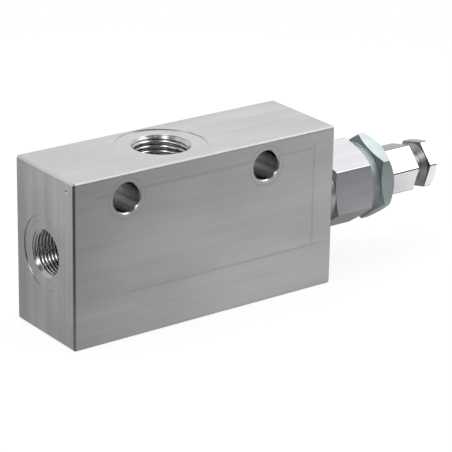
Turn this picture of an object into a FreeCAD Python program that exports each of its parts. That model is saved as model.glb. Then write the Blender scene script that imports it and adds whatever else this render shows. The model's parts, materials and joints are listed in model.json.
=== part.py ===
"""Counterbalance valve: a ported aluminium block with a screw-in relief and check cartridge.

Frame: origin at the centre of the block's underside, +Z up, +X along the cartridge
towards the adjusting screw. The cartridge axis lies along X at half the block's height.
"""

import FreeCAD, Part
import math
import os

V = FreeCAD.Vector

# Cavity stages along the axis, from the pilot port's mouth to the cartridge face.
# Together they are the block's length.
pilot_thread_depth = 12.0
pilot_point_length = 3.0
pilot_passage_length = 7.0
nose_bore_length = 20.0
load_bore_length = 28.0
valve_bore_length = 24.0
cartridge_thread_length = 16.0

# Cavity radii: each stage is one size up, so that the seals slide in unharmed.
pilot_passage_radius = 3.0
nose_bore_radius = 9.0
load_bore_radius = 10.0
valve_bore_radius = 11.0
cartridge_thread_radius = 12.0
seal_recess_width = 2.3
seal_recess_depth = 1.9

# Block
block_depth = 36.0
block_height = 60.0
long_edge_radius = 0.9
end_edge_chamfer = 0.7
punch_radius = 0.7
punch_depth = 0.4
punch_inset_y = 4.2
punch_inset_z = 3.7

# Ports: the pilot port is G 3/8 and the two working ports are G 1/2, at major radius.
pilot_thread_radius = 8.331
pilot_drill_radius = 7.6
pilot_spot_radius = 13.3
work_thread_radius = 10.4775
work_drill_radius = 9.3
work_spot_radius = 16.2
work_thread_depth = 14.0
work_drill_depth = 2.0
work_passage_radius = 7.0
spot_depth = 0.25
mouth_chamfer = 0.15
drill_point_half_angle = 59.0
load_port_inset = 5.4
valve_port_inset = 5.0

# Two mounting holes through the block
bolt_hole_radius = 5.25
bolt_hole_spacing = 58.4
bolt_hole_drop = 9.0
bolt_hole_offset = -4.6
bolt_hole_chamfer = 0.5

# Clearances
fit_gap = 0.03
running_gap = 0.05
seat_gap = 0.05
plate_gap = 0.4
spring_bore_step = 0.25
cut_over = 1.0

# Sleeve and nose guide
land_length = 11.0
land_setback = 2.0
spigot_length = 9.0
spigot_wall = 1.1
nose_spigot_length = 4.5
load_neck_radius = 8.0
valve_neck_radius = 8.5
neck_shoulder = 1.5
check_bore_radius = 6.5
check_bore_length = 23.0
relief_bore_radius = 5.8
plate_floor_setback = 1.0
load_hole_radius = 2.5
load_hole_count = 6
valve_hole_radius = 3.0
valve_hole_count = 4
land_chamfer = 0.4

# Land seals: one O-ring with a back-up ring each side, in a shared groove
seal_groove_depth = 1.9
seal_groove_width = 4.6
backup_ring_width = 1.2
seal_bulge = 0.25

# Check seat, with the knife seat on its right edge
check_seat_length = 7.5
check_seat_bore_radius = 4.25
check_seat_bevel = 0.3
check_groove_depth = 1.1
check_groove_width = 1.9

# Relief piston
valve_travel = 2.5
cone_half_angle = 30.0
cone_radius = 5.0
cone_rim_length = 2.0
stem_radius = 2.5
piston_neck_radius = 3.2
piston_guide_length = 13.0
piston_end_setback = 1.0
piston_groove_depth = 1.3
piston_groove_width = 2.1

# Pilot piston
pilot_piston_radius = 3.97
pilot_guide_radius = 4.0
pilot_head_radius = 6.0
pilot_head_length = 2.0
pilot_head_gap = 1.5
pilot_stop_gap = 1.0
pilot_groove_depth = 1.1
pilot_groove_width = 1.8

# Ball, spring plates and springs
ball_radius = 2.5
socket_half_angle = 60.0
plate_radius = 8.1
plate_thickness = 3.0
plate_lift = 1.0
plate_nose_radius = 4.3
plate_nose_length = 4.0
plate_boss_radius = 5.0
plate_boss_length = 2.0
main_spring_length = 22.0
main_spring_radius = 6.2
main_wire_radius = 1.25
main_spring_turns = 5.5
check_spring_radius = 5.4
check_wire_radius = 0.5
check_spring_turns = 4.0
spring_grind = 0.35
closed_turns = 1.0
coil_gap = 0.1
points_per_turn = 12
wire_sides = 6

# Hexagon housing
hex_sides = 6
thread_lead_in = 1.5
housing_thread_gap = 0.05
housing_neck_length = 2.0
housing_undercut = 1.1
housing_base_radius = 13.9
housing_base_length = 4.9
housing_length = 23.2
hex_across_flats = 28.0
hex_turn = 36.8
hex_rear_angle = 20.0
hex_front_angle = 30.0
hex_front_radius = 12.7
hex_corner_rounding = 1.0
adjuster_bore_length = 15.7

# Lock nut
nut_length = 10.3
nut_collar_length = 2.9
nut_collar_radius = 13.4
nut_lip_length = 2.2
nut_lip_step = 0.4
nut_rear_angle = 30.0
nut_front_angle = 45.0
nut_front_radius = 12.8
nut_corner_rounding = 0.6
nut_seal_radius = 11.6
nut_seal_width = 1.8

# Adjusting screw, M20 thread at major radius
screw_thread_radius = 10.0
screw_thread_past_nut = -1.2
screw_chamfer = 0.9
screw_across_flats = 17.0
screw_hex_turn = 12.0
screw_hex_length = 16.0
screw_corner_rounding = 0.6
screw_neck_radius = 6.25
screw_neck_length = 5.5
screw_neck_fillet = 1.6
screw_head_length = 4.1
screw_head_angle = 30.0
screw_head_bevel = 1.0
boss_recess_depth = 1.0

# Pilot orifice
orifice_length = 4.0
orifice_radius = 0.6
orifice_socket_radius = 1.5
orifice_socket_depth = 1.6

# Places along the axis that follow from the sizes above
block_length = (
    pilot_thread_depth
    + pilot_point_length
    + pilot_passage_length
    + nose_bore_length
    + load_bore_length
    + valve_bore_length
    + cartridge_thread_length
)
axis_z = block_height / 2
pilot_face_x = -block_length / 2
pilot_point_x = pilot_face_x + pilot_thread_depth
passage_x = pilot_point_x + pilot_point_length
nose_bore_x = passage_x + pilot_passage_length
load_bore_x = nose_bore_x + nose_bore_length
valve_bore_x = load_bore_x + load_bore_length
thread_bore_x = valve_bore_x + valve_bore_length
face_x = thread_bore_x + cartridge_thread_length
load_port_x = load_bore_x + load_port_inset
valve_port_x = valve_bore_x + valve_port_inset

sleeve_x = load_bore_x - land_setback
middle_land_end_x = valve_bore_x - land_setback
rear_land_end_x = thread_bore_x - land_setback
sleeve_end_x = rear_land_end_x + spigot_length
pilot_head_x = nose_bore_x + pilot_head_gap
pilot_head_end_x = pilot_head_x + pilot_head_length
guide_x = pilot_head_end_x + valve_travel + pilot_stop_gap
guide_end_x = sleeve_x + nose_spigot_length
check_stop_x = sleeve_x + check_bore_length
plate_floor_x = rear_land_end_x + plate_floor_setback
lower_plate_x = plate_floor_x + plate_lift
spring_x = lower_plate_x + plate_thickness
spring_end_x = spring_x + main_spring_length
upper_plate_end_x = spring_end_x + plate_thickness
housing_end_x = face_x + housing_length
nut_end_x = housing_end_x + nut_length
screw_x = upper_plate_end_x + plate_boss_length - boss_recess_depth
screw_hex_x = nut_end_x + screw_thread_past_nut
screw_neck_x = screw_hex_x + screw_hex_length
screw_head_x = screw_neck_x + screw_neck_length
screw_end_x = screw_head_x + screw_head_length


def run_over(rise, angle):
    """Length along the axis of a cone that rises by this much at this angle to the axis."""
    return rise / math.tan(math.radians(angle))


def corner_radius(across_flats):
    return across_flats / 2 / math.cos(math.pi / hex_sides)


# Radii and places that follow from how the pieces meet. The cone meets the seat's inner edge,
# drawn back by the seat gap.
housing_neck_radius = cartridge_thread_radius - housing_undercut
seal_recess_radius = housing_neck_radius + seal_recess_width
plate_bore_radius = plate_radius + plate_gap
spring_bore_radius = plate_bore_radius + spring_bore_step
spigot_radius = plate_bore_radius + spigot_wall
hex_corner_radius = corner_radius(hex_across_flats)
screw_corner_radius = corner_radius(screw_across_flats)
seat_edge_x = check_stop_x - check_seat_bevel
cone_touch_radius = check_seat_bore_radius - seat_gap
cone_start_x = seat_edge_x - run_over(cone_touch_radius - stem_radius, cone_half_angle)
cone_end_x = seat_edge_x + run_over(cone_radius - cone_touch_radius, cone_half_angle)
piston_end_x = plate_floor_x - piston_end_setback
piston_groove_x = piston_end_x - piston_guide_length / 2
pilot_groove_x = (guide_x + sleeve_x) / 2
check_groove_x = check_stop_x - check_seat_length / 2
ball_x = (piston_end_x + lower_plate_x) / 2


def turned(outline):
    """A solid turned about the cartridge axis from its half section in (x, radius)."""
    points = [V(x, 0, axis_z + radius) for x, radius in outline]
    section = Part.Face(Part.makePolygon(points + points[:1]))
    return section.revolve(V(0, 0, axis_z), V(1, 0, 0), 360)


def rod(x_start, x_end, radius):
    return Part.makeCylinder(radius, x_end - x_start, V(x_start, 0, axis_z), V(1, 0, 0))


def ring(x_start, x_end, inner, outer):
    return rod(x_start, x_end, outer).cut(rod(x_start, x_end, inner))


def hexagon(x_start, x_end, across_flats, turn, rounding=0):
    """A hexagon bar on the axis, with one corner raised by the turn from straight ahead."""
    reach = corner_radius(across_flats)
    corners = []
    for index in range(hex_sides):
        angle = math.radians(turn) + 2 * math.pi * index / hex_sides
        y = -reach * math.cos(angle)
        z = axis_z + reach * math.sin(angle)
        corners.append(V(x_start, y, z))
    face = Part.Face(Part.makePolygon(corners + corners[:1]))
    bar = face.extrude(V(x_end - x_start, 0, 0))
    if not rounding:
        return bar
    long_edges = [edge for edge in bar.Edges if edge.BoundBox.XLength > fit_gap]
    return bar.makeFillet(rounding, long_edges)


def squeezed_ring(x_start, x_end, inner, outer):
    """An O-ring pressed between two round walls, flat where it seals and bulged at its sides."""
    middle = (inner + outer) / 2
    return turned(
        [
            (x_start + seal_bulge, inner),
            (x_start, middle),
            (x_start + seal_bulge, outer),
            (x_end - seal_bulge, outer),
            (x_end, middle),
            (x_end - seal_bulge, inner),
        ]
    )


def coil_path(x_start, rise, mean_radius, wire_radius, turns):
    """The wire's centre line: a closed coil at each end and even turns between them."""
    closed_rise = closed_turns * (2 * wire_radius + coil_gap)
    active_turns = turns - 2 * closed_turns
    active_pitch = (rise - 2 * closed_rise) / active_turns
    closed_pitch = closed_rise / closed_turns
    points = []
    for index in range(round(turns * points_per_turn) + 1):
        turn = index / points_per_turn
        first = min(turn, closed_turns)
        last = max(turn - closed_turns - active_turns, 0)
        x = x_start + closed_pitch * (first + last) + active_pitch * (turn - first - last)
        angle = 2 * math.pi * turn
        points.append(
            V(x, mean_radius * math.sin(angle), axis_z + mean_radius * math.cos(angle))
        )
    path = Part.BSplineCurve()
    path.interpolate(points)
    return Part.Wire(path.toShape())


def coil(x_start, x_end, mean_radius, wire_radius, turns):
    """A compression spring on the axis, with closed ends that are ground flat."""
    first_x = x_start + wire_radius - spring_grind
    rise = x_end - x_start - 2 * (wire_radius - spring_grind)
    corners = []
    for index in range(wire_sides):
        angle = 2 * math.pi * (index + 0.5) / wire_sides
        across = axis_z + mean_radius + wire_radius * math.cos(angle)
        corners.append(V(first_x + wire_radius * math.sin(angle), 0, across))
    section = Part.makePolygon(corners + corners[:1])
    path = coil_path(first_x, rise, mean_radius, wire_radius, turns)
    wound = path.makePipeShell([section], True, True)
    return wound.common(rod(x_start, x_end, mean_radius + 2 * wire_radius))


def groove_seal(middle, width, depth, land_radius):
    """The O-ring that fills a groove of these sizes."""
    half = width / 2 - fit_gap
    return squeezed_ring(middle - half, middle + half, land_radius - depth + fit_gap, land_radius)


def groove(middle, width, depth, land_radius):
    """The ring of material turned away from a land of this radius."""
    floor = land_radius - depth
    return ring(middle - width / 2, middle + width / 2, floor, land_radius + cut_over)


def land_groove(land_start, land_end, land_radius):
    middle = (land_start + land_end) / 2
    return groove(middle, seal_groove_width, seal_groove_depth, land_radius)


def port_cut(start, direction, thread_radius, thread_depth, drill_radius, spot_radius, drill_depth=0):
    """Spot face, chamfered mouth, thread bore and drill point of one port."""
    thread = Part.makeCylinder(thread_radius, thread_depth, start, direction)
    mouth_start = start + direction * spot_depth
    mouth = Part.makeCone(
        thread_radius + mouth_chamfer, thread_radius, mouth_chamfer, mouth_start, direction
    )
    spot = Part.makeCylinder(spot_radius, spot_depth, start, direction)
    drill = Part.makeCylinder(drill_radius, thread_depth + drill_depth, start, direction)
    point_start = start + direction * (thread_depth + drill_depth)
    point_depth = run_over(drill_radius, drill_point_half_angle)
    point = Part.makeCone(drill_radius, 0, point_depth, point_start, direction)
    return thread.fuse([mouth, spot, drill, point])


def valve_body():
    block = Part.makeBox(
        block_length, block_depth, block_height, V(pilot_face_x, -block_depth / 2, 0)
    )
    long_edges = [edge for edge in block.Edges if edge.BoundBox.XLength > block_depth]
    block = block.makeFillet(long_edge_radius, long_edges)
    end_edges = [edge for edge in block.Edges if edge.BoundBox.XLength < fit_gap]
    block = block.makeChamfer(end_edge_chamfer, end_edges)

    cavity = [
        rod(pilot_point_x, face_x, pilot_passage_radius),
        rod(nose_bore_x, face_x, nose_bore_radius),
        rod(load_bore_x, face_x, load_bore_radius),
        rod(valve_bore_x, face_x, valve_bore_radius),
        rod(thread_bore_x, face_x, cartridge_thread_radius),
        rod(face_x - seal_recess_depth, face_x, seal_recess_radius),
    ]
    pilot_port = port_cut(
        V(pilot_face_x, 0, axis_z),
        V(1, 0, 0),
        pilot_thread_radius,
        pilot_thread_depth,
        pilot_drill_radius,
        pilot_spot_radius,
    )
    work_sizes = (
        work_thread_radius,
        work_thread_depth,
        work_drill_radius,
        work_spot_radius,
        work_drill_depth,
    )
    load_port = port_cut(V(load_port_x, 0, block_height), V(0, 0, -1), *work_sizes)
    valve_port = port_cut(V(valve_port_x, 0, 0), V(0, 0, 1), *work_sizes)
    load_passage = Part.makeCylinder(work_passage_radius, axis_z, V(load_port_x, 0, axis_z))
    valve_passage = Part.makeCylinder(work_passage_radius, axis_z, V(valve_port_x, 0, 0))
    cuts = cavity + [pilot_port, load_port, valve_port, load_passage, valve_passage]

    hole_z = block_height - bolt_hole_drop
    front_y = -block_depth / 2
    wide_radius = bolt_hole_radius + bolt_hole_chamfer
    for side in (-1, 1):
        hole_x = bolt_hole_offset + side * bolt_hole_spacing / 2
        front = V(hole_x, front_y, hole_z)
        cuts.append(Part.makeCylinder(bolt_hole_radius, block_depth, front, V(0, 1, 0)))
        for face_y in (-1, 1):
            mouth = V(hole_x, face_y * block_depth / 2, hole_z)
            inward = V(0, -face_y, 0)
            cuts.append(
                Part.makeCone(wide_radius, bolt_hole_radius, bolt_hole_chamfer, mouth, inward)
            )
    punch = V(pilot_face_x, front_y + punch_inset_y, block_height - punch_inset_z)
    cuts.append(Part.makeCone(punch_radius, 0, punch_depth, punch, V(1, 0, 0)))
    return block.cut(cuts)


def cartridge_housing():
    """Turned from hexagon bar: male thread, neck, round base, chamfered hexagon."""
    base_end_x = face_x + housing_base_length
    rear_rise = hex_corner_radius - housing_base_radius
    front_rise = hex_corner_radius - hex_front_radius
    rear_run = rear_rise * math.tan(math.radians(hex_rear_angle))
    front_run = front_rise * math.tan(math.radians(hex_front_angle))
    thread_start_x = thread_bore_x + thread_lead_in
    male_radius = cartridge_thread_radius - housing_thread_gap
    outside = turned(
        [
            (rear_land_end_x, 0),
            (rear_land_end_x, housing_neck_radius),
            (thread_start_x, housing_neck_radius),
            (thread_start_x + male_radius - housing_neck_radius, male_radius),
            (face_x - housing_neck_length, male_radius),
            (face_x - housing_neck_length, housing_neck_radius),
            (face_x, housing_neck_radius),
            (face_x, housing_base_radius),
            (base_end_x, housing_base_radius),
            (base_end_x + rear_run, hex_corner_radius),
            (housing_end_x - front_run, hex_corner_radius),
            (housing_end_x, hex_front_radius),
            (housing_end_x, 0),
        ]
    )
    bar = hexagon(base_end_x, housing_end_x, hex_across_flats, hex_turn, hex_corner_rounding)
    stock = bar.fuse(rod(rear_land_end_x, base_end_x, housing_base_radius))
    solid = outside.common(stock)
    adjuster_bore_x = housing_end_x - adjuster_bore_length
    return solid.cut(
        [
            rod(rear_land_end_x, sleeve_end_x, spigot_radius + fit_gap),
            rod(sleeve_end_x, adjuster_bore_x, spring_bore_radius),
            rod(adjuster_bore_x, housing_end_x, screw_thread_radius),
        ]
    ).removeSplitter()


def housing_seal():
    return squeezed_ring(
        face_x - seal_recess_depth + fit_gap,
        face_x - fit_gap,
        housing_neck_radius + fit_gap,
        seal_recess_radius - fit_gap,
    )


def cross_holes(x, radius, count):
    """Round holes through the sleeve's wall, evenly spaced about the axis."""
    drills = []
    for index in range(count):
        angle = 2 * math.pi * index / count
        direction = V(0, math.sin(angle), math.cos(angle))
        drills.append(Part.makeCylinder(radius, valve_bore_radius, V(x, 0, axis_z), direction))
    return drills


def cartridge_sleeve():
    """Steel sleeve with a load neck and a valve neck between its lands."""
    middle_radius = load_bore_radius - fit_gap
    rear_radius = valve_bore_radius - fit_gap
    middle_start_x = middle_land_end_x - land_length
    rear_start_x = rear_land_end_x - land_length
    outside = turned(
        [
            (sleeve_x, 0),
            (sleeve_x, nose_bore_radius - fit_gap - land_chamfer),
            (sleeve_x + land_chamfer, nose_bore_radius - fit_gap),
            (sleeve_x + neck_shoulder, nose_bore_radius - fit_gap),
            (sleeve_x + neck_shoulder, load_neck_radius),
            (middle_start_x, load_neck_radius),
            (middle_start_x, middle_radius - land_chamfer),
            (middle_start_x + land_chamfer, middle_radius),
            (middle_land_end_x, middle_radius),
            (middle_land_end_x, valve_neck_radius),
            (rear_start_x, valve_neck_radius),
            (rear_start_x, rear_radius - land_chamfer),
            (rear_start_x + land_chamfer, rear_radius),
            (rear_land_end_x, rear_radius),
            (rear_land_end_x, spigot_radius),
            (sleeve_end_x, spigot_radius),
            (sleeve_end_x, 0),
        ]
    )
    cuts = [
        rod(sleeve_x, check_stop_x, check_bore_radius),
        rod(check_stop_x, plate_floor_x, relief_bore_radius),
        rod(plate_floor_x, sleeve_end_x, plate_bore_radius),
        land_groove(middle_start_x, middle_land_end_x, middle_radius),
        land_groove(rear_start_x, rear_land_end_x, rear_radius),
    ]
    cuts += cross_holes(load_port_x, load_hole_radius, load_hole_count)
    cuts += cross_holes(valve_port_x, valve_hole_radius, valve_hole_count)
    return outside.cut(cuts)


def nose_guide():
    """Front bush: carries the nose seal, guides the pilot piston and plugs the sleeve."""
    land_radius = nose_bore_radius - fit_gap
    body = turned(
        [
            (guide_x, pilot_guide_radius),
            (guide_x, land_radius - land_chamfer),
            (guide_x + land_chamfer, land_radius),
            (sleeve_x, land_radius),
            (sleeve_x, check_bore_radius - fit_gap),
            (guide_end_x, check_bore_radius - fit_gap),
            (guide_end_x, pilot_guide_radius),
        ]
    )
    return body.cut(land_groove(guide_x, sleeve_x, land_radius))


def land_seals(name, land_start, land_end, bore_radius):
    """The O-ring and two back-up rings of one land, as three named pieces."""
    middle = (land_start + land_end) / 2
    inner = bore_radius - seal_groove_depth
    outer = bore_radius - fit_gap
    half = seal_groove_width / 2 - fit_gap
    seal_half = half - backup_ring_width - fit_gap
    return {
        name + "_land_seal": squeezed_ring(middle - seal_half, middle + seal_half, inner, outer),
        name + "_backup_ring_left": ring(
            middle - half, middle - half + backup_ring_width, inner, outer
        ),
        name + "_backup_ring_right": ring(
            middle + half - backup_ring_width, middle + half, inner, outer
        ),
    }


def check_seat():
    """Sliding seat: free flow lifts it off the relief cone against its light spring."""
    start = check_stop_x - check_seat_length
    outer = check_bore_radius - running_gap
    body = turned(
        [
            (start, check_seat_bore_radius),
            (start, outer - land_chamfer),
            (start + land_chamfer, outer),
            (check_stop_x, outer),
            (check_stop_x, check_seat_bore_radius + check_seat_bevel),
            (check_stop_x - check_seat_bevel, check_seat_bore_radius),
        ]
    )
    return body.cut(groove(check_groove_x, check_groove_width, check_groove_depth, outer))


def check_seat_seal():
    outer = check_bore_radius - running_gap
    return groove_seal(check_groove_x, check_groove_width, check_groove_depth, outer)


def check_spring():
    return coil(
        guide_end_x,
        check_stop_x - check_seat_length,
        check_spring_radius,
        check_wire_radius,
        check_spring_turns,
    )


def ball_socket(x_mouth, side):
    """A drilled cone that the thrust ball sits in, open towards the given side."""
    reach = (ball_radius + fit_gap) / math.sin(math.radians(socket_half_angle))
    apex_x = ball_x - side * reach
    depth = abs(x_mouth - apex_x)
    mouth_radius = depth * math.tan(math.radians(socket_half_angle))
    return Part.makeCone(0, mouth_radius, depth, V(apex_x, 0, axis_z), V(side, 0, 0))


def relief_piston():
    """Stem, sealing cone, flow neck and sealed guide, turned from one bar."""
    guide_radius = relief_bore_radius - running_gap
    guide_start_x = piston_end_x - piston_guide_length
    neck_start_x = cone_end_x + cone_rim_length
    neck_rise = cone_radius - piston_neck_radius
    guide_rise = guide_radius - piston_neck_radius
    body = turned(
        [
            (guide_end_x, 0),
            (guide_end_x, stem_radius - land_chamfer),
            (guide_end_x + land_chamfer, stem_radius),
            (cone_start_x, stem_radius),
            (cone_end_x, cone_radius),
            (neck_start_x, cone_radius),
            (neck_start_x + neck_rise, piston_neck_radius),
            (guide_start_x - guide_rise, piston_neck_radius),
            (guide_start_x, guide_radius),
            (piston_end_x - land_chamfer, guide_radius),
            (piston_end_x, guide_radius - land_chamfer),
            (piston_end_x, 0),
        ]
    )
    seal_groove = groove(piston_groove_x, piston_groove_width, piston_groove_depth, guide_radius)
    return body.cut([seal_groove, ball_socket(piston_end_x, 1)])


def relief_piston_seal():
    outer = relief_bore_radius - running_gap
    return groove_seal(piston_groove_x, piston_groove_width, piston_groove_depth, outer)


def pilot_piston():
    """The rod that pilot pressure pushes against the relief piston's stem."""
    body = turned(
        [
            (pilot_head_x, 0),
            (pilot_head_x, pilot_head_radius - land_chamfer),
            (pilot_head_x + land_chamfer, pilot_head_radius),
            (pilot_head_end_x, pilot_head_radius),
            (pilot_head_end_x, pilot_piston_radius),
            (guide_end_x - land_chamfer, pilot_piston_radius),
            (guide_end_x, pilot_piston_radius - land_chamfer),
            (guide_end_x, 0),
        ]
    )
    return body.cut(
        groove(pilot_groove_x, pilot_groove_width, pilot_groove_depth, pilot_piston_radius)
    )


def pilot_piston_seal():
    return groove_seal(
        pilot_groove_x, pilot_groove_width, pilot_groove_depth, pilot_piston_radius
    )


def thrust_ball():
    return Part.makeSphere(ball_radius, V(ball_x, 0, axis_z))


def lower_spring_plate():
    body = turned(
        [
            (lower_plate_x, 0),
            (lower_plate_x, plate_radius - land_chamfer),
            (lower_plate_x + land_chamfer, plate_radius),
            (spring_x, plate_radius),
            (spring_x, plate_nose_radius),
            (spring_x + plate_nose_length - land_chamfer, plate_nose_radius),
            (spring_x + plate_nose_length, plate_nose_radius - land_chamfer),
            (spring_x + plate_nose_length, 0),
        ]
    )
    return body.cut(ball_socket(lower_plate_x, -1))


def upper_spring_plate():
    nose_x = spring_end_x - plate_nose_length
    boss_end_x = upper_plate_end_x + plate_boss_length
    return turned(
        [
            (nose_x, 0),
            (nose_x, plate_nose_radius - land_chamfer),
            (nose_x + land_chamfer, plate_nose_radius),
            (spring_end_x, plate_nose_radius),
            (spring_end_x, plate_radius),
            (upper_plate_end_x - land_chamfer, plate_radius),
            (upper_plate_end_x, plate_radius - land_chamfer),
            (upper_plate_end_x, plate_boss_radius),
            (boss_end_x, plate_boss_radius),
            (boss_end_x, 0),
        ]
    )


def main_spring():
    return coil(
        spring_x, spring_end_x, main_spring_radius, main_wire_radius, main_spring_turns
    )


def adjusting_screw():
    """Threaded rod with a milled hexagon, a turned snap groove and a hexagon end collar."""
    male_radius = screw_thread_radius - running_gap
    head_bevel_x = screw_end_x - screw_head_bevel
    end_radius = screw_corner_radius - run_over(screw_head_bevel, screw_head_angle)
    outside = turned(
        [
            (screw_x, 0),
            (screw_x, male_radius - screw_chamfer),
            (screw_x + screw_chamfer, male_radius),
            (head_bevel_x, male_radius),
            (head_bevel_x, screw_corner_radius),
            (screw_end_x, end_radius),
            (screw_end_x, 0),
        ]
    )
    bar = hexagon(
        screw_hex_x, screw_end_x, screw_across_flats, screw_hex_turn, screw_corner_rounding
    )
    stock = rod(screw_x, screw_hex_x, male_radius).fuse(bar)
    snap_groove = turned(
        [
            (screw_neck_x, screw_neck_radius + screw_neck_fillet),
            (screw_neck_x + screw_neck_fillet, screw_neck_radius),
            (screw_head_x - screw_neck_fillet, screw_neck_radius),
            (screw_head_x, screw_neck_radius + screw_neck_fillet),
            (screw_head_x, male_radius + cut_over),
            (screw_neck_x, male_radius + cut_over),
        ]
    )
    recess = rod(screw_x, screw_x + boss_recess_depth, plate_boss_radius + running_gap)
    return outside.common(stock).cut([snap_groove, recess]).removeSplitter()


def lock_nut():
    """Hexagon nut with a round collar that closes on the housing's end face."""
    rear_rise = hex_corner_radius - nut_collar_radius
    rear_run = rear_rise * math.tan(math.radians(nut_rear_angle))
    front_run = run_over(hex_corner_radius - nut_front_radius, nut_front_angle)
    collar_end_x = housing_end_x + nut_collar_length
    lip_end_x = housing_end_x + nut_lip_length
    outside = turned(
        [
            (housing_end_x, 0),
            (housing_end_x, nut_collar_radius - nut_lip_step),
            (lip_end_x, nut_collar_radius - nut_lip_step),
            (lip_end_x + nut_lip_step, nut_collar_radius),
            (collar_end_x, nut_collar_radius),
            (collar_end_x + rear_run, hex_corner_radius),
            (nut_end_x - front_run, hex_corner_radius),
            (nut_end_x, nut_front_radius),
            (nut_end_x, 0),
        ]
    )
    bar = hexagon(collar_end_x, nut_end_x, hex_across_flats, hex_turn, nut_corner_rounding)
    stock = rod(housing_end_x, collar_end_x, nut_collar_radius).fuse(bar)
    seal_end_x = housing_end_x + nut_seal_width
    return (
        outside.common(stock)
        .cut(
            [
                rod(housing_end_x, nut_end_x, screw_thread_radius),
                rod(housing_end_x, seal_end_x, nut_seal_radius),
            ]
        )
        .removeSplitter()
    )


def lock_nut_seal():
    return squeezed_ring(
        housing_end_x + fit_gap,
        housing_end_x + nut_seal_width - fit_gap,
        screw_thread_radius,
        nut_seal_radius - fit_gap,
    )


def pilot_orifice():
    """Screwed jet with a hexagon socket and a fine bore, which slows the pilot flow."""
    end_x = passage_x + orifice_length
    outer = pilot_passage_radius - fit_gap
    body = turned(
        [
            (passage_x, orifice_radius),
            (passage_x, outer - land_chamfer),
            (passage_x + land_chamfer, outer),
            (end_x - land_chamfer, outer),
            (end_x, outer - land_chamfer),
            (end_x, orifice_radius),
        ]
    )
    socket = hexagon(
        passage_x, passage_x + orifice_socket_depth, orifice_socket_radius * math.sqrt(3), 0
    )
    return body.cut(socket)


nodes = {
    "valve_body": valve_body(),
    "cartridge_housing": cartridge_housing(),
    "housing_seal": housing_seal(),
    "cartridge_sleeve": cartridge_sleeve(),
    "nose_guide": nose_guide(),
    "check_seat": check_seat(),
    "check_seat_seal": check_seat_seal(),
    "check_spring": check_spring(),
    "relief_piston": relief_piston(),
    "relief_piston_seal": relief_piston_seal(),
    "pilot_piston": pilot_piston(),
    "pilot_piston_seal": pilot_piston_seal(),
    "thrust_ball": thrust_ball(),
    "lower_spring_plate": lower_spring_plate(),
    "main_spring": main_spring(),
    "upper_spring_plate": upper_spring_plate(),
    "adjusting_screw": adjusting_screw(),
    "lock_nut": lock_nut(),
    "lock_nut_seal": lock_nut_seal(),
    "pilot_orifice": pilot_orifice(),
}
nodes.update(land_seals("nose", guide_x, sleeve_x, nose_bore_radius))
nodes.update(
    land_seals("middle", middle_land_end_x - land_length, middle_land_end_x, load_bore_radius)
)
nodes.update(
    land_seals("rear", rear_land_end_x - land_length, rear_land_end_x, valve_bore_radius)
)

os.makedirs("parts", exist_ok=True)
for name, shape in nodes.items():
    shape.exportStep("parts/" + name + ".step")
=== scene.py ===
import bpy
import json
import math
from mathutils import Matrix, Vector


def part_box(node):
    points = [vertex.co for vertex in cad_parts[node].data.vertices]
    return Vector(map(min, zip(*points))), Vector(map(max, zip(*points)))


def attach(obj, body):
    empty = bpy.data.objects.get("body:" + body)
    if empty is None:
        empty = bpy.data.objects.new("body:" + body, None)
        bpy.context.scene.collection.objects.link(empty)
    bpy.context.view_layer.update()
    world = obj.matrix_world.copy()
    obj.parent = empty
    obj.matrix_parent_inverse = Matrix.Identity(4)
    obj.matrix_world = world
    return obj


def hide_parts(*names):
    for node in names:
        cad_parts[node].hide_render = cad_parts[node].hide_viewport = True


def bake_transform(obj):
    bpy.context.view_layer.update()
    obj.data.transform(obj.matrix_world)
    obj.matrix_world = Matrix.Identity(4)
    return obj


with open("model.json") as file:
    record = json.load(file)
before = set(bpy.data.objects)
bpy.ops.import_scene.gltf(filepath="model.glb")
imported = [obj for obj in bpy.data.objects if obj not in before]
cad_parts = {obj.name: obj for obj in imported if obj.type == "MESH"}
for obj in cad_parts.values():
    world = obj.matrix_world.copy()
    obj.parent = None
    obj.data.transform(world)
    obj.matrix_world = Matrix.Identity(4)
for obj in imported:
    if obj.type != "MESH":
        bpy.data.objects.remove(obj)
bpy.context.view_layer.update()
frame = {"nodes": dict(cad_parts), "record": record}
nodes = frame["nodes"]
bpy.ops.object.select_all(action="DESELECT")


# Camera
# A long lens from the front left, a little above the block, as the valve is seen in a catalogue.
# Its place and angles were solved from the block's corners.
camera_azimuth = math.radians(-36.841)
camera_elevation = math.radians(21.057)
camera_roll = math.radians(1.077)
camera_place = Vector((-0.43054, -0.60269, 0.31352))
camera_lens = 180.2
camera_sensor_width = 36
camera_clip_start = 0.01

bpy.ops.object.camera_add(location=camera_place)
camera = bpy.context.active_object
camera.data.lens = camera_lens
camera.data.sensor_width = camera_sensor_width
camera.data.clip_start = camera_clip_start
camera.rotation_mode = "QUATERNION"
camera.rotation_quaternion = (
    Matrix.Rotation(camera_azimuth, 3, "Z")
    @ Matrix.Rotation(math.pi / 2 - camera_elevation, 3, "X")
    @ Matrix.Rotation(camera_roll, 3, "Z")
).to_quaternion()
bpy.context.scene.camera = camera
bpy.context.scene.view_settings.view_transform = "Standard"


# Studio
# The valve stands on a round table top that looks white to the eye. In the metal it sees a
# white wall behind the table, soft lamps overhead and to the right, two long lamps across the
# ceiling, and a table that is grey near the valve and dark towards the camera.
room_ambient = 0.55
room_dark = 0.12
room_wall = 0.98
room_overhead = 0.26
room_horizon = 0.36
wall_heading = (0.62, 0.78, 0)
wall_turn_span = (-0.35, 0.05)
wall_rise_span = (-0.04, 0.24)
overhead_span = (0.82, 0.93)

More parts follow.
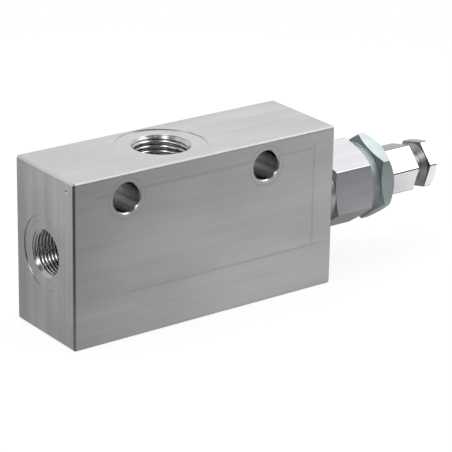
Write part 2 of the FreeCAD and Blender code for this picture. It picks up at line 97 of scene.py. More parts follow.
# Heading, inner and outer half angle in degrees, and strength of each round lamp
round_lamps = (
    ((0.545, 0.27, 0.80), 12.0, 22.0, 1.05),
    ((0.62, -0.36, 0.70), 9.0, 18.0, 1.5),
    ((0.545, -0.60, 0.58), 8.0, 19.0, 1.8),
    ((-0.48, -0.64, 0.61), 4.0, 8.0, 3.0),
)
# Side heading, offset, inner and outer half width, strength and fades of each long lamp
long_lamps = (
    ((0.7295, -0.683, 0), -0.124, 0.06, 0.11, 3.2, (("Z", 0.45, 0.60), ("Y", 0.45, 0.25))),
    ((0, 0.682, 0.731), 0.258, 0.05, 0.11, 4.0, (("X", -0.35, -0.50),)),
)


def add_node(tree, kind, label="", **settings):
    node = tree.nodes.new(kind)
    node.label = label
    for name, value in settings.items():
        setattr(node, name, value)
    return node


def join(tree, source, target):
    tree.links.new(source, target)


def feed(tree, socket, value):
    """Give a socket a number, or join another socket to it."""
    if isinstance(value, (int, float)):
        socket.default_value = value
    else:
        join(tree, value, socket)


def math_node(tree, operation, first, second):
    """A Math node on two inputs, each a socket or a number."""
    node = add_node(tree, "ShaderNodeMath", operation=operation)
    feed(tree, node.inputs[0], first)
    feed(tree, node.inputs[1], second)
    return node.outputs["Value"]


def magnitude(tree, value):
    return math_node(tree, "ABSOLUTE", value, 0.0)


def map_range(tree, value, low, high, new_low=0.0, new_high=1.0):
    """A smooth ramp of one value from one span to another."""
    node = add_node(tree, "ShaderNodeMapRange", interpolation_type="SMOOTHSTEP")
    join(tree, value, node.inputs["Value"])
    node.inputs["From Min"].default_value = low
    node.inputs["From Max"].default_value = high
    node.inputs["To Min"].default_value = new_low
    node.inputs["To Max"].default_value = new_high
    return node.outputs["Result"]


def mix_values(tree, factor, first, second):
    """The first value where the factor is 0 and the second where it is 1."""
    node = add_node(tree, "ShaderNodeMix", data_type="FLOAT")
    join(tree, factor, node.inputs["Factor"])
    feed(tree, node.inputs[2], first)
    feed(tree, node.inputs[3], second)
    return node.outputs[0]


def either(tree, values):
    """The largest of several masks."""
    total = values[0]
    for value in values[1:]:
        total = math_node(tree, "MAXIMUM", total, value)
    return total


def product(tree, *values):
    """Several masks or shades multiplied together."""
    total = values[0]
    for value in values[1:]:
        total = math_node(tree, "MULTIPLY", total, value)
    return total


def straight_look(tree, light_path):
    """1 for what the eye sees straight or through something clear, and 0 in reflections."""
    return math_node(
        tree,
        "MAXIMUM",
        light_path.outputs["Is Camera Ray"],
        light_path.outputs["Is Transmission Ray"],
    )


def along_heading(tree, vector, heading, label):
    """How far a vector points along a heading."""
    facing = add_node(tree, "ShaderNodeVectorMath", label, operation="DOT_PRODUCT")
    join(tree, vector, facing.inputs[0])
    facing.inputs[1].default_value = heading
    return facing.outputs["Value"]


def round_lamp(tree, heading, inner, outer, strength):
    """A round soft lamp in the room, at a heading, between two half angles in degrees."""
    facing = along_heading(tree, room_direction, Vector(heading).normalized(), "round lamp")
    edge = math.cos(math.radians(outer))
    core = math.cos(math.radians(inner))
    return map_range(tree, facing, edge, core, 0.0, strength)


def long_lamp(tree, side, offset, inner, outer, strength, fades):
    """A long lamp across the room, beside the plane that faces the side heading.

    Each fade names an axis and brings the lamp in where the heading runs between two values."""
    facing = along_heading(tree, room_direction, side, "long lamp")
    beside = magnitude(tree, math_node(tree, "SUBTRACT", facing, offset))
    light = map_range(tree, beside, inner, outer, strength, 0.0)
    for axis, start, full in fades:
        light = product(tree, light, map_range(tree, room_axes.outputs[axis], start, full))
    return light


world = bpy.data.worlds.new("studio_room")
bpy.context.scene.world = world
world.use_nodes = True
room = world.node_tree
room.nodes.clear()
room_axes = add_node(room, "ShaderNodeSeparateXYZ")
room_direction = add_node(room, "ShaderNodeTexCoord").outputs["Generated"]
join(room, room_direction, room_axes.inputs[0])
room_path = add_node(room, "ShaderNodeLightPath")
towards_wall = along_heading(room, room_direction, wall_heading, "towards wall")
wall_rise = map_range(room, room_axes.outputs["Z"], *wall_rise_span, room_horizon, room_wall)
wall_share = map_range(room, towards_wall, *wall_turn_span)
wall_light = mix_values(room, wall_share, room_dark, wall_rise)
overhead_share = map_range(room, room_axes.outputs["Z"], *overhead_span)
seen_in_metal = mix_values(room, overhead_share, wall_light, room_overhead)
for lamp_values in round_lamps:
    seen_in_metal = math_node(room, "ADD", seen_in_metal, round_lamp(room, *lamp_values))
for lamp_values in long_lamps:
    seen_in_metal = math_node(room, "ADD", seen_in_metal, long_lamp(room, *lamp_values))
beyond_camera = mix_values(room, room_path.outputs["Is Glossy Ray"], room_ambient, seen_in_metal)
room_strength = mix_values(room, straight_look(room, room_path), beyond_camera, 1.0)
room_light = add_node(room, "ShaderNodeBackground")
room_light.inputs["Color"].default_value = (1, 1, 1, 1)
join(room, room_strength, room_light.inputs["Strength"])
room_output = add_node(room, "ShaderNodeOutputWorld")
join(room, room_light.outputs[0], room_output.inputs["Surface"])

table_radius = 0.34
table_sides = 96
table_colour = (0.16, 0.16, 0.16, 1)
table_roughness = 0.9
table_glow = 0.87
near_light = 0.50
front_light = 0.10
back_light = 0.42
right_light = 1.42
front_span = (-0.21, -0.11)
back_span = (0.02, 0.22)
right_span = (0.11, 0.14)
# Centre, inner and outer radius, and shade of each patch that the metal sees on the table: a
# dark one towards the camera, one to the left, one under the housing, and a light one in front
# of the screw
table_patches = (
    ((-0.12, -0.15, 0), 0.07, 0.19, 0.08),
    ((-0.10, 0.06, 0), 0.05, 0.12, 0.76),
    ((0.078, 0.004, 0), 0.015, 0.042, 0.52),
    ((0.135, -0.03, 0), 0.01, 0.04, 1.20),
)

bpy.ops.mesh.primitive_circle_add(vertices=table_sides, radius=table_radius, fill_type="NGON")
table = bpy.context.active_object
table.name = "table_top"
table_material = bpy.data.materials.new("white_table")
table_material.use_nodes = True
table_tree = table_material.node_tree
table_surface = table_tree.nodes["Principled BSDF"]
table_surface.inputs["Base Color"].default_value = table_colour
table_surface.inputs["Roughness"].default_value = table_roughness
table_surface.inputs["Specular IOR Level"].default_value = 0.0
table_surface.inputs["Emission Color"].default_value = (1, 1, 1, 1)
table_path = add_node(table_tree, "ShaderNodeLightPath")
glow_to_eye = product(table_tree, straight_look(table_tree, table_path), table_glow)
table_place = add_node(table_tree, "ShaderNodeTexCoord").outputs["Object"]
table_axes = add_node(table_tree, "ShaderNodeSeparateXYZ")
join(table_tree, table_place, table_axes.inputs[0])
table_x = table_axes.outputs["X"]
table_y = table_axes.outputs["Y"]
glow_to_metal = product(
    table_tree,
    math_node(
        table_tree,
        "MINIMUM",
        map_range(table_tree, table_y, *front_span, front_light, near_light),
        map_range(table_tree, table_y, *back_span, near_light, back_light),
    ),
    map_range(table_tree, table_x, *right_span, 1.0, right_light),
)
for centre, inner, outer, shade in table_patches:
    patch = add_node(table_tree, "ShaderNodeVectorMath", "patch", operation="DISTANCE")
    join(table_tree, table_place, patch.inputs[0])
    patch.inputs[1].default_value = centre
    patch_shade = map_range(table_tree, patch.outputs["Value"], inner, outer, shade, 1.0)
    glow_to_metal = product(table_tree, glow_to_metal, patch_shade)
glow_to_metal = product(table_tree, glow_to_metal, table_path.outputs["Is Glossy Ray"])
table_light = math_node(table_tree, "ADD", glow_to_eye, glow_to_metal)
join(table_tree, table_light, table_surface.inputs["Emission Strength"])
table.data.materials.append(table_material)


def softbox(name, place, aim, size, power):
    """A square soft lamp at a place, facing a point. Metal mirrors the room, not this lamp."""
    bpy.ops.object.light_add(type="AREA", location=place)
    lamp = bpy.context.active_object
    lamp.name = name
    lamp.data.shape = "SQUARE"
    lamp.data.size = size
    lamp.data.energy = power
    lamp.rotation_mode = "QUATERNION"
    lamp.rotation_quaternion = (Vector(aim) - Vector(place)).to_track_quat("-Z", "Y")
    lamp.visible_glossy = False


block_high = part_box("valve_body")[1]
axis_height = block_high.z / 2
block_middle = (0, 0, axis_height)
cartridge_middle = (0.09, 0, axis_height)
softbox("overhead_softbox", (-0.15, 0.10, 0.95), block_middle, 0.75, 4.0)
softbox("right_softbox", (0.55, -0.38, 0.62), cartridge_middle, 0.32, 1.3)


# Aluminium block
# Sawn from extruded bar and milled: drawn grain runs along its sides, and its ends have upright
# tool marks. Spot faces and port bores are turned, so their marks run in rings.
aluminium_colour = (0.602, 0.594, 0.594, 1)
aluminium_roughness = 0.36
roughness_swing = 0.05
pattern_span = (0.3, 0.7)
mark_depth = 0.0001
sharp = 0.0001


def grain_group():
    """Fine lines and soft streaks along the first axis of the vector it is given."""
    group = bpy.data.node_groups.new("metal_grain", "ShaderNodeTree")
    interface = group.interface
    vector_in = interface.new_socket("Vector", in_out="INPUT", socket_type="NodeSocketVector")
    vector_in.description = "Object coordinates turned so that X runs along the grain"
    for name, value in (("Fineness", 1.0), ("Stretch", 0.02)):
        socket = interface.new_socket(name, in_out="INPUT", socket_type="NodeSocketFloat")
        socket.default_value = value
    for name in ("Lines", "Streaks"):
        interface.new_socket(name, in_out="OUTPUT", socket_type="NodeSocketFloat")
    inside = add_node(group, "NodeGroupInput")
    outside = add_node(group, "NodeGroupOutput")
    stretch = add_node(group, "ShaderNodeCombineXYZ")
    join(group, inside.outputs["Stretch"], stretch.inputs["X"])
    stretch.inputs["Y"].default_value = 1.0
    stretch.inputs["Z"].default_value = 1.0
    drawn = add_node(group, "ShaderNodeVectorMath", operation="MULTIPLY")
    join(group, inside.outputs["Vector"], drawn.inputs[0])
    join(group, stretch.outputs[0], drawn.inputs[1])
    for name, scale, detail in (("Lines", 2600.0, 3.0), ("Streaks", 330.0, 2.0)):
        noise = add_node(group, "ShaderNodeTexNoise", name)
        join(group, drawn.outputs[0], noise.inputs["Vector"])
        fine_scale = product(group, inside.outputs["Fineness"], scale)
        join(group, fine_scale, noise.inputs["Scale"])
        noise.inputs["Detail"].default_value = detail
        noise.inputs["Roughness"].default_value = 0.6
        join(group, noise.outputs["Fac"], outside.inputs[name])
    return group


metal_grain = grain_group()


def place_grain(tree, vector, fineness=1.0, stretch=0.02):
    node = add_node(tree, "ShaderNodeGroup", "grain", node_tree=metal_grain)
    join(tree, vector, node.inputs["Vector"])
    node.inputs["Fineness"].default_value = fineness
    node.inputs["Stretch"].default_value = stretch
    return node


def noise_along(tree, value, scale, detail, label):
    """Noise that changes along one value only."""
    noise = add_node(tree, "ShaderNodeTexNoise", label, noise_dimensions="1D")
    noise.inputs["Scale"].default_value = scale
    noise.inputs["Detail"].default_value = detail
    join(tree, value, noise.inputs["W"])
    return noise.outputs["Fac"]


def metal(name, colour, roughness):
    """A bare metal material, with its tree, surface and coordinates ready for detail."""
    material = bpy.data.materials.new(name)
    material.use_nodes = True
    tree = material.node_tree
    surface = tree.nodes["Principled BSDF"]
    surface.inputs["Base Color"].default_value = colour
    surface.inputs["Metallic"].default_value = 1.0
    surface.inputs["Roughness"].default_value = roughness
    return material, tree, surface, add_node(tree, "ShaderNodeTexCoord")


def paint(node_name, material):
    nodes[node_name].material_slots[0].material = material


def axes_of(tree, vector, label):
    """A vector's parts along the three main axes."""
    node = add_node(tree, "ShaderNodeSeparateXYZ", label)
    join(tree, vector, node.inputs[0])
    return node.outputs


def tint(tree, surface, colour, shade):
    """Base colour times a shade."""
    scaled = add_node(tree, "ShaderNodeVectorMath", "tone", operation="SCALE")
    scaled.inputs[0].default_value = colour[:3]
    join(tree, shade, scaled.inputs["Scale"])
    join(tree, scaled.outputs["Vector"], surface.inputs["Base Color"])


def tone(tree, surface, colour, value, low, high):
    """Base colour times a value that runs from low to high over the pattern's middle range."""
    tint(tree, surface, colour, map_range(tree, value, *pattern_span, low, high))


def darken(tree, mask, level):
    """1 outside a mask and the level inside it."""
    return map_range(tree, mask, 0.0, 1.0, 1.0, level)


def emboss(tree, surface, height, strength):
    bump = add_node(tree, "ShaderNodeBump")
    bump.inputs["Strength"].default_value = strength
    bump.inputs["Distance"].default_value = mark_depth
    join(tree, height, bump.inputs["Height"])
    join(tree, bump.outputs["Normal"], surface.inputs["Normal"])


def axis_distance(tree, position, centre, axis):
    """Distance from a line through the centre along one of the main axes."""
    away = add_node(tree, "ShaderNodeVectorMath", operation="SUBTRACT")
    join(tree, position, away.inputs[0])
    away.inputs[1].default_value = centre
    across = add_node(tree, "ShaderNodeVectorMath", operation="MULTIPLY")
    join(tree, away.outputs["Vector"], across.inputs[0])
    across.inputs[1].default_value = [0.0 if i == "XYZ".index(axis) else 1.0 for i in range(3)]
    length = add_node(tree, "ShaderNodeVectorMath", operation="LENGTH")
    join(tree, across.outputs["Vector"], length.inputs[0])
    return length.outputs["Value"]


def band(tree, value, low, high, soft):
    """1 between low and high, fading out over the soft width on each side."""
    rise = map_range(tree, value, low - soft, low)
    fall = map_range(tree, value, high, high + soft, 1.0, 0.0)
    return product(tree, rise, fall)


record_mounts = {mount["name"]: mount for mount in frame["record"]["mounts"]}
load_mount = record_mounts["load_port"]
valve_mount = record_mounts["valve_port"]
pilot_mount = record_mounts["pilot_port"]
hole_mount = record_mounts["mounting_holes"]

aluminium, alu_tree, alu_surface, alu_coordinates = metal(
    "sawn_aluminium", aluminium_colour, aluminium_roughness
)
alu_position = alu_coordinates.outputs["Object"]
alu_facing = axes_of(alu_tree, alu_coordinates.outputs["Normal"], "facing")
alu_place = axes_of(alu_tree, alu_position, "place")

# Drawn grain along the sides and upright grain on the ends
end_facing = (0.6, 0.9)
end_fineness = 0.8
alu_side_grain = place_grain(alu_tree, alu_position)
alu_end_turn = add_node(alu_tree, "ShaderNodeMapping", "upright on the ends")
alu_end_turn.inputs["Rotation"].default_value = (0, math.pi / 2, 0)
join(alu_tree, alu_position, alu_end_turn.inputs["Vector"])
alu_end_grain = place_grain(alu_tree, alu_end_turn.outputs["Vector"], end_fineness)
alu_end_on = magnitude(alu_tree, alu_facing["X"])
alu_is_end = map_range(alu_tree, alu_end_on, *end_facing)
alu_lines, alu_streaks = (
    mix_values(alu_tree, alu_is_end, alu_side_grain.outputs[name], alu_end_grain.outputs[name])
    for name in ("Lines", "Streaks")
)

# Turned rings on the spot faces, which are cut a little below the block's faces
spot_radius_large = 0.0162
spot_radius_small = 0.0133
spot_reach = 0.02
ring_scale = 2400.0
ring_detail = 1.5
spot_masks = []
ring_values = []
for mount, axis, radius in (
    (load_mount, "Z", spot_radius_large),
    (valve_mount, "Z", spot_radius_large),
    (pilot_mount, "X", spot_radius_small),
):
    reach = axis_distance(alu_tree, alu_position, mount["pos_m"], axis)
    level = mount["pos_m"]["XYZ".index(axis)]
    near = band(alu_tree, alu_place[axis], level - spot_reach, level + spot_reach, sharp)
    within = map_range(alu_tree, reach, radius - sharp, radius + sharp, 1.0, 0.0)
    mask = product(alu_tree, near, within)
    rings = noise_along(alu_tree, reach, ring_scale, ring_detail, "rings")
    spot_masks.append(mask)
    ring_values.append(product(alu_tree, mask, rings))
alu_is_spot = either(alu_tree, spot_masks)
alu_rings = either(alu_tree, ring_values)

# Drilled walls of the two mounting holes, smoother than the faces and darkened by painted shade,
# and a washer's ring by each
hole_spacing = hole_mount["dims"]["spacing_x_mm"] / 1000
hole_wall = hole_mount["dims"]["hole_r_mm"] / 1000 + 0.0002
washer_ring = (0.0071, 0.0073, 0.0003)
hole_masks = []
front_marks = []
for side in (-0.5, 0.5):
    centre = Vector(hole_mount["pos_m"]) + Vector((side * hole_spacing, 0, 0))
    reach = axis_distance(alu_tree, alu_position, centre, "Y")
    hole_masks.append(map_range(alu_tree, reach, hole_wall, hole_wall + sharp, 1.0, 0.0))
    front_marks.append(band(alu_tree, reach, *washer_ring))
alu_is_hole = either(alu_tree, hole_masks)

# Faint marks that a clamp left on the front face: one long mark near the top, a short one at
# the right and a soft one low down, each as start, end and softness along X and along Z
front_facing = (-0.9, -0.7)
clamp_marks = (
    ((-0.045, 0.046, 0.002), (0.0533, 0.0537, 0.0007)),
    ((0.0456, 0.046, 0.0006), (0.019, 0.0535, 0.004)),
    ((-0.030, 0.045, 0.010), (0.0168, 0.0172, 0.0006)),
)
for along, upright in clamp_marks:
    clamp_mark = product(
        alu_tree,
        band(alu_tree, alu_place["X"], *along),
        band(alu_tree, alu_place["Z"], *upright),
    )
    front_marks.append(clamp_mark)
alu_on_front = map_range(alu_tree, alu_facing["Y"], *front_facing, 1.0, 0.0)
alu_is_marked = product(alu_tree, alu_on_front, either(alu_tree, front_marks))

# Long edges are rougher and painted slightly darker to soften their highlight, and the upright
# chamfers at both ends are smoother and carry a painted dark reflection
edge_zone = 0.0010
chamfer_start = 0.0009
chamfer_full = 0.0008
chamfer_end_facing = (0.35, 0.90, 0.05)
chamfer_side_facing = (0.3, 0.5)


def near_edge(distance, edge):
    """1 within the edge zone of a face that lies at this distance."""
    start = edge - edge_zone
    return map_range(alu_tree, distance, start - sharp, start + sharp)


alu_beside = magnitude(alu_tree, alu_place["Y"])
alu_over = magnitude(alu_tree, math_node(alu_tree, "SUBTRACT", alu_place["Z"], axis_height))
alu_is_edge = product(
    alu_tree, near_edge(alu_beside, block_high.y), near_edge(alu_over, axis_height)
)
alu_is_chamfer = product(
    alu_tree,
    band(alu_tree, alu_end_on, *chamfer_end_facing),
    map_range(alu_tree, magnitude(alu_tree, alu_facing["Y"]), *chamfer_side_facing),
    map_range(
        alu_tree,
        magnitude(alu_tree, alu_place["X"]),
        block_high.x - chamfer_start,
        block_high.x - chamfer_full,
    ),
)

# Slow changes of tone over the drawn skin
cloud_scale = 60.0
cloud_detail = 3.0
cloud_stretch = add_node(alu_tree, "ShaderNodeMapping", "cloud stretch")
cloud_stretch.inputs["Scale"].default_value = (0.35, 1.0, 1.0)
join(alu_tree, alu_position, cloud_stretch.inputs["Vector"])
alu_cloud = add_node(alu_tree, "ShaderNodeTexNoise", "cloud")
alu_cloud.inputs["Scale"].default_value = cloud_scale
alu_cloud.inputs["Detail"].default_value = cloud_detail
join(alu_tree, cloud_stretch.outputs["Vector"], alu_cloud.inputs["Vector"])

# Broad upright bands that the end mill left across both ends, darker towards the back, with
# painted shade that makes both ends darker overall than the sides
end_band_scale = 170.0
end_band_detail = 2.0
end_bands = noise_along(alu_tree, alu_place["Y"], end_band_scale, end_band_detail, "end bands")
end_bands_and_painted_shade = product(
    alu_tree,
    map_range(alu_tree, end_bands, *pattern_span, 0.85, 0.98),
    map_range(alu_tree, alu_place["Y"], 0.0, block_high.y, 1.0, 0.76),
)

# Grain or rings set the tone and the roughness, and each kind of surface then has its own
line_share = 0.40
streak_share = 0.60
alu_grain_mark = math_node(
    alu_tree,
    "ADD",
    product(alu_tree, alu_lines, line_share),
    product(alu_tree, alu_streaks, streak_share),
)
alu_mark = mix_values(alu_tree, alu_is_spot, alu_grain_mark, alu_rings)
alu_shade = product(
    alu_tree,
    map_range(alu_tree, alu_mark, *pattern_span, 0.93, 1.07),
    map_range(alu_tree, alu_cloud.outputs["Fac"], *pattern_span, 0.94, 1.05),
    darken(alu_tree, alu_is_marked, 0.87),
    # painted shade on the walls of the mounting holes
    darken(alu_tree, alu_is_hole, 0.86),
    # painted dark reflection on the upright end chamfers
    darken(alu_tree, alu_is_chamfer, 0.45),
    # painted shade that softens the highlight on the long edges
    darken(alu_tree, alu_is_edge, 0.96),
    # end bands, with painted shade that darkens both ends against the sides
    mix_values(alu_tree, alu_is_end, 1.0, end_bands_and_painted_shade),
)
tint(alu_tree, alu_surface, aluminium_colour, alu_shade)
alu_rough = map_range(
    alu_tree,
    alu_mark,
    *pattern_span,
    aluminium_roughness - roughness_swing,
    aluminium_roughness + roughness_swing,
)
for mask, roughness in (
    (alu_is_spot, 0.26),
    (alu_is_hole, 0.17),
    (alu_is_edge, 0.48),
    (alu_is_chamfer, 0.22),
):
    alu_rough = mix_values(alu_tree, mask, alu_rough, roughness)
join(alu_tree, alu_rough, alu_surface.inputs["Roughness"])
emboss(alu_tree, alu_surface, mix_values(alu_tree, alu_is_spot, alu_lines, alu_rings), 0.25)
paint("valve_body", aluminium)


# Port threads
# Each port is tapped with a parallel pipe thread. The solid has the bore at the thread's full
# depth, and these ridges are the thread's crests inside it.
thread_profile_sides = 12
thread_steps = 64
thread_lead_turns = 0.6
thread_hidden = 0.0001
thread_smooth_angle = math.radians(50)
ridge_width = 2.1
ridge_length = 1.04
countersink_slope = 1.0


def port_thread(name, mouth, axis_turn, major_radius, minor_radius, pitch, depth):
    """A helical ridge on a bore's wall, running inwards from the mouth.

    Its oval section is centred on the wall, and its turns just overlap."""
    bpy.ops.object.select_all(action="DESELECT")
    bpy.ops.mesh.primitive_circle_add(
        vertices=thread_profile_sides, radius=0.5, fill_type="NOTHING"
    )
    ridge = bpy.context.active_object
    ridge.name = name
    ridge_height = major_radius - minor_radius
    bpy.ops.object.mode_set(mode="EDIT")
    bpy.ops.mesh.select_all(action="SELECT")
    bpy.ops.transform.rotate(value=math.pi / 2, orient_axis="X", center_override=(0, 0, 0))
    bpy.ops.transform.resize(
        value=(ridge_width * ridge_height, 1, ridge_length * pitch), center_override=(0, 0, 0)
    )
    bpy.ops.transform.translate(value=(major_radius, 0, thread_lead_turns * pitch))
    bpy.ops.object.mode_set(mode="OBJECT")
    wind = ridge.modifiers.new("wind", "SCREW")
    wind.angle = -2 * math.pi
    wind.screw_offset = -pitch
    wind.iterations = int(depth / pitch + thread_lead_turns)
    wind.steps = thread_steps
    wind.render_steps = thread_steps
    wind.use_merge_vertices = True
    bpy.ops.object.modifier_apply(modifier="wind")
    bpy.ops.object.mode_set(mode="EDIT")
    bpy.ops.mesh.select_all(action="SELECT")
    bpy.ops.mesh.fill_holes(sides=0)
    bpy.ops.mesh.select_all(action="SELECT")
    bpy.ops.mesh.normals_make_consistent(inside=False)
    bpy.ops.object.mode_set(mode="OBJECT")
    # The mouth's chamfer cuts the first turns away, and nothing stands above the spot face
    for vertex in ridge.data.vertices:
        reach = math.hypot(vertex.co.x, vertex.co.y)
        countersink = major_radius + thread_hidden + vertex.co.z * countersink_slope
        countersink = min(countersink, major_radius + thread_hidden)
        if reach < countersink:
            vertex.co.x *= countersink / reach
            vertex.co.y *= countersink / reach
        vertex.co.z = min(vertex.co.z, -thread_hidden)
    ridge.rotation_euler = axis_turn
    ridge.location = mouth
    bpy.ops.object.transform_apply(location=True, rotation=True, scale=True)
    bpy.ops.object.shade_smooth_by_angle(angle=thread_smooth_angle)
    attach(ridge, "body")
    return ridge


# Major radius, minor radius and pitch of the two thread sizes
working_thread = (0.0104775, 0.0093155, 0.001814)
pilot_thread = (0.008331, 0.007475, 0.001337)
thread_colour = (0.54, 0.54, 0.54, 1)
thread_roughness = 0.20
thread_material, thread_tree, thread_surface, thread_coordinates = metal(
    "tapped_aluminium", thread_colour, thread_roughness
)
thread_grain = place_grain(thread_tree, thread_coordinates.outputs["Object"], 0.6, 0.5)
tone(thread_tree, thread_surface, thread_colour, thread_grain.outputs["Streaks"], 0.85, 1.1)
for name, mount, turn, sizes in (
    ("load_port_thread", load_mount, (0, 0, 0), working_thread),
    ("valve_port_thread", valve_mount, (math.pi, 0, 0), working_thread),
    ("pilot_port_thread", pilot_mount, (0, -math.pi / 2, 0), pilot_thread),
):
    length = mount["dims"]["length_mm"] / 1000
    ridge = port_thread(name, mount["pos_m"], turn, *sizes, length)
    ridge.data.materials.append(thread_material)


# Cartridge housing
# Turned from hexagon steel bar and bright zinc plated, which leaves a pale, faintly violet skin.
housing_colour = (0.455, 0.455, 0.478, 1)
housing_roughness = 0.28

housing_zinc, housing_tree, housing_surface, housing_coordinates = metal(
    "bright_zinc", housing_colour, housing_roughness
)
housing_grain = place_grain(housing_tree, housing_coordinates.outputs["Object"], 0.8, 0.15)
tone(housing_tree, housing_surface, housing_colour, housing_grain.outputs["Streaks"], 0.94, 1.05)
emboss(housing_tree, housing_surface, housing_grain.outputs["Lines"], 0.15)
paint("cartridge_housing", housing_zinc)


# Lock nut
# A hexagon nut with a round collar, zinc plated with a blue-green passivation. Its collar and
# rear cone are rougher and carry painted shade, darker towards the top of the cone.
nut_colour = (0.42, 0.48, 0.485, 1)
nut_roughness = 0.31
shaded_part_roughness = 0.48
collar_painted_shade = 0.84
cone_painted_shade_low = 0.85
cone_painted_shade_high = 0.46
cone_span = (axis_height - 0.008, axis_height + 0.012)
rear_facing = (-0.8, -0.3)
nut_collar_length = 0.0029
nut_collar_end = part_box("lock_nut")[0].x + nut_collar_length

nut_zinc, nut_tree, nut_surface, nut_coordinates = metal(
    "blue_green_zinc", nut_colour, nut_roughness
)
nut_grain = place_grain(nut_tree, nut_coordinates.outputs["Object"], 0.6, 0.6)
nut_facing = axes_of(nut_tree, nut_coordinates.outputs["Normal"], "facing")
nut_place = axes_of(nut_tree, nut_coordinates.outputs["Object"], "place")
nut_is_rear = map_range(nut_tree, nut_facing["X"], *rear_facing, 1.0, 0.0)
nut_past_collar = map_range(nut_tree, nut_place["X"], nut_collar_end - sharp, nut_collar_end)
nut_is_cone = product(nut_tree, nut_is_rear, nut_past_collar)
# Painted shade on the collar and on the rear cone, darker towards the top of the cone; both
# parts are also rougher
nut_is_painted_shaded = mix_values(nut_tree, nut_past_collar, 1.0, nut_is_cone)
nut_cone_painted_shade = map_range(
    nut_tree, nut_place["Z"], *cone_span, cone_painted_shade_low, cone_painted_shade_high
)
nut_painted_shade = mix_values(nut_tree, nut_is_cone, collar_painted_shade, nut_cone_painted_shade)
nut_shade = product(
    nut_tree,
    map_range(nut_tree, nut_grain.outputs["Streaks"], *pattern_span, 0.92, 1.06),
    mix_values(nut_tree, nut_is_painted_shaded, 1.0, nut_painted_shade),
)
tint(nut_tree, nut_surface, nut_colour, nut_shade)
nut_rough = mix_values(nut_tree, nut_is_painted_shaded, nut_roughness, shaded_part_roughness)
join(nut_tree, nut_rough, nut_surface.inputs["Roughness"])
emboss(nut_tree, nut_surface, nut_grain.outputs["Lines"], 0.12)
paint("lock_nut", nut_zinc)


# Adjusting screw
# Steel, threaded, then milled to a hexagon and turned down to a snap groove near its end. The
# groove is rougher and carries painted shade, and the rounded corners carry a painted dark
# reflection.
screw_colour = (0.80, 0.80, 0.81, 1)
screw_roughness = 0.2
groove_roughness = 0.38
groove_painted_shade = 0.41
corner_painted_shade = 0.18
corner_start = 0.00963
corner_full = corner_start + 0.00004
screw_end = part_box("adjusting_screw")[1].x
groove_span = (screw_end - 0.0097, screw_end - 0.0040)

screw_steel, screw_tree, screw_surface, screw_coordinates = metal(
    "bright_screw", screw_colour, screw_roughness
)
screw_position = screw_coordinates.outputs["Object"]
screw_grain = place_grain(screw_tree, screw_position, 0.7, 0.2)
screw_place = axes_of(screw_tree, screw_position, "place")
screw_is_groove = band(screw_tree, screw_place["X"], *groove_span, sharp)
screw_reach = axis_distance(screw_tree, screw_position, block_middle, "X")
screw_is_corner = map_range(screw_tree, screw_reach, corner_start, corner_full)
# Painted shade inside the groove and a painted dark reflection along the rounded corners
screw_shade = product(
    screw_tree,
    darken(screw_tree, screw_is_groove, groove_painted_shade),
    darken(screw_tree, screw_is_corner, corner_painted_shade),
    map_range(screw_tree, screw_grain.outputs["Streaks"], *pattern_span, 0.94, 1.05),
)
tint(screw_tree, screw_surface, screw_colour, screw_shade)
screw_rough = mix_values(screw_tree, screw_is_groove, screw_roughness, groove_roughness)
join(screw_tree, screw_rough, screw_surface.inputs["Roughness"])
emboss(screw_tree, screw_surface, screw_grain.outputs["Lines"], 0.1)
paint("adjusting_screw", screw_steel)


# Cartridge inside
# The sleeve, bush, seat, pistons, plates and jet are turned or ground steel, the springs are
# oiled wire, the seals are black rubber, and the back-up rings are white plastic.
mottle_scale = 900.0
turned_names = [
    "cartridge_sleeve",
    "nose_guide",
    "lower_spring_plate",
    "upper_spring_plate",
    "pilot_orifice",
]
ground_names = ["check_seat", "relief_piston", "pilot_piston"]
spring_names = ["main_spring", "check_spring"]
land_names = ("nose", "middle", "rear")
seal_names = [land + "_land_seal" for land in land_names] + [
    "housing_seal",
    "check_seat_seal",
    "relief_piston_seal",
    "pilot_piston_seal",
    "lock_nut_seal",
]
ring_names = [land + "_backup_ring_" + side for land in land_names for side in ("left", "right")]


def inner_metal(name, colour, roughness, fineness, stretch, names):
    """Turned, ground or drawn steel, painted on several pieces."""
    material, tree, surface, coordinates = metal(name, colour, roughness)
    grain = place_grain(tree, coordinates.outputs["Object"], fineness, stretch)
    tone(tree, surface, colour, grain.outputs["Streaks"], 0.9, 1.08)
    emboss(tree, surface, grain.outputs["Lines"], 0.1)
    for node_name in names:
        paint(node_name, material)


def moulded(name, colour, roughness, mottle, names):
    """Rubber or plastic with a fine mottle in its colour and a soft skin."""
    material = bpy.data.materials.new(name)
    material.use_nodes = True
    tree = material.node_tree
    surface = tree.nodes["Principled BSDF"]
    surface.inputs["Roughness"].default_value = roughness
    coordinates = add_node(tree, "ShaderNodeTexCoord")
    noise = add_node(tree, "ShaderNodeTexNoise")
    noise.inputs["Scale"].default_value = mottle_scale
    join(tree, coordinates.outputs["Object"], noise.inputs["Vector"])
    tone(tree, surface, colour, noise.outputs["Fac"], 1.0 - mottle, 1.0 + mottle)
    emboss(tree, surface, noise.outputs["Fac"], 0.2)
    for node_name in names:
        paint(node_name, material)


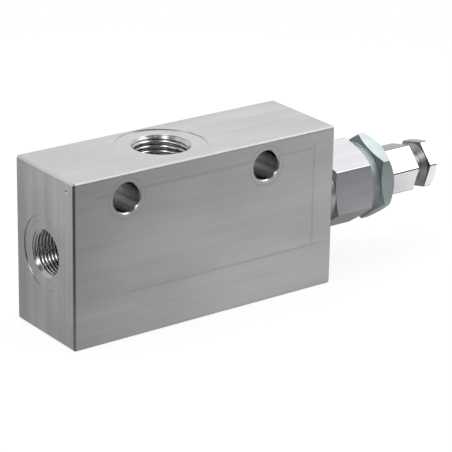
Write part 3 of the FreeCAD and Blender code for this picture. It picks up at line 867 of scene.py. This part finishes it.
inner_metal("turned_steel", (0.50, 0.50, 0.51, 1), 0.3, 0.8, 4.0, turned_names)
inner_metal("ground_steel", (0.42, 0.42, 0.44, 1), 0.2, 1.2, 4.0, ground_names)
inner_metal("spring_wire", (0.16, 0.16, 0.17, 1), 0.35, 0.6, 0.5, spring_names)
inner_metal("polished_ball", (0.72, 0.72, 0.74, 1), 0.08, 0.5, 1.0, ["thrust_ball"])
moulded("seal_rubber", (0.028, 0.028, 0.03, 1), 0.55, 0.25, seal_names)
moulded("backup_ring_plastic", (0.80, 0.78, 0.72, 1), 0.45, 0.05, ring_names)


# Springs
# Each coil is squeezed between two pieces that move apart. The main spring is cut into two
# halves that meet in the middle of its length, and each piece is copied, cut and baked in place;
# nothing here joins their ends to the moving pieces.
main_end_coil = 0.0035
check_end_coil = 0.0015
past_all = 1.0


def spring_piece(name, node_name, keep_from, keep_to):
    """A copy of a coil between two places along X, capped where it is cut."""
    low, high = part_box(node_name)
    bpy.ops.object.select_all(action="DESELECT")
    bpy.ops.mesh.primitive_plane_add()
    piece = bpy.context.active_object
    piece.name = name
    piece.data = nodes[node_name].data.copy()
    for place, heading in ((keep_from, -1), (keep_to, 1)):
        if low.x < place < high.x:
            bpy.ops.object.mode_set(mode="EDIT")
            bpy.ops.mesh.select_all(action="SELECT")
            bpy.ops.mesh.bisect(
                plane_co=(place, 0, 0),
                plane_no=(heading, 0, 0),
                use_fill=True,
                clear_outer=True,
            )
            bpy.ops.object.mode_set(mode="OBJECT")
    return piece


main_low, main_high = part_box("main_spring")
main_middle = (main_low.x + main_high.x) / 2
main_front = spring_piece("main_spring_front", "main_spring", -past_all, main_middle)
main_rear = spring_piece("main_spring_rear", "main_spring", main_middle, past_all)
check_low, check_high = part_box("check_spring")
check_coil = spring_piece("check_spring_coil", "check_spring", -past_all, past_all)
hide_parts("main_spring")
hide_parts("main_spring")
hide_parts("check_spring")
for piece, first_body, second_body, start, end in (
    (main_front, "piston", "body", main_low.x + main_end_coil, main_middle),
    (main_rear, "body", "spring_seat", main_middle, main_high.x - main_end_coil),
    (check_coil, "body", "check", check_low.x + check_end_coil, check_high.x - check_end_coil),
):
    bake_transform(piece)
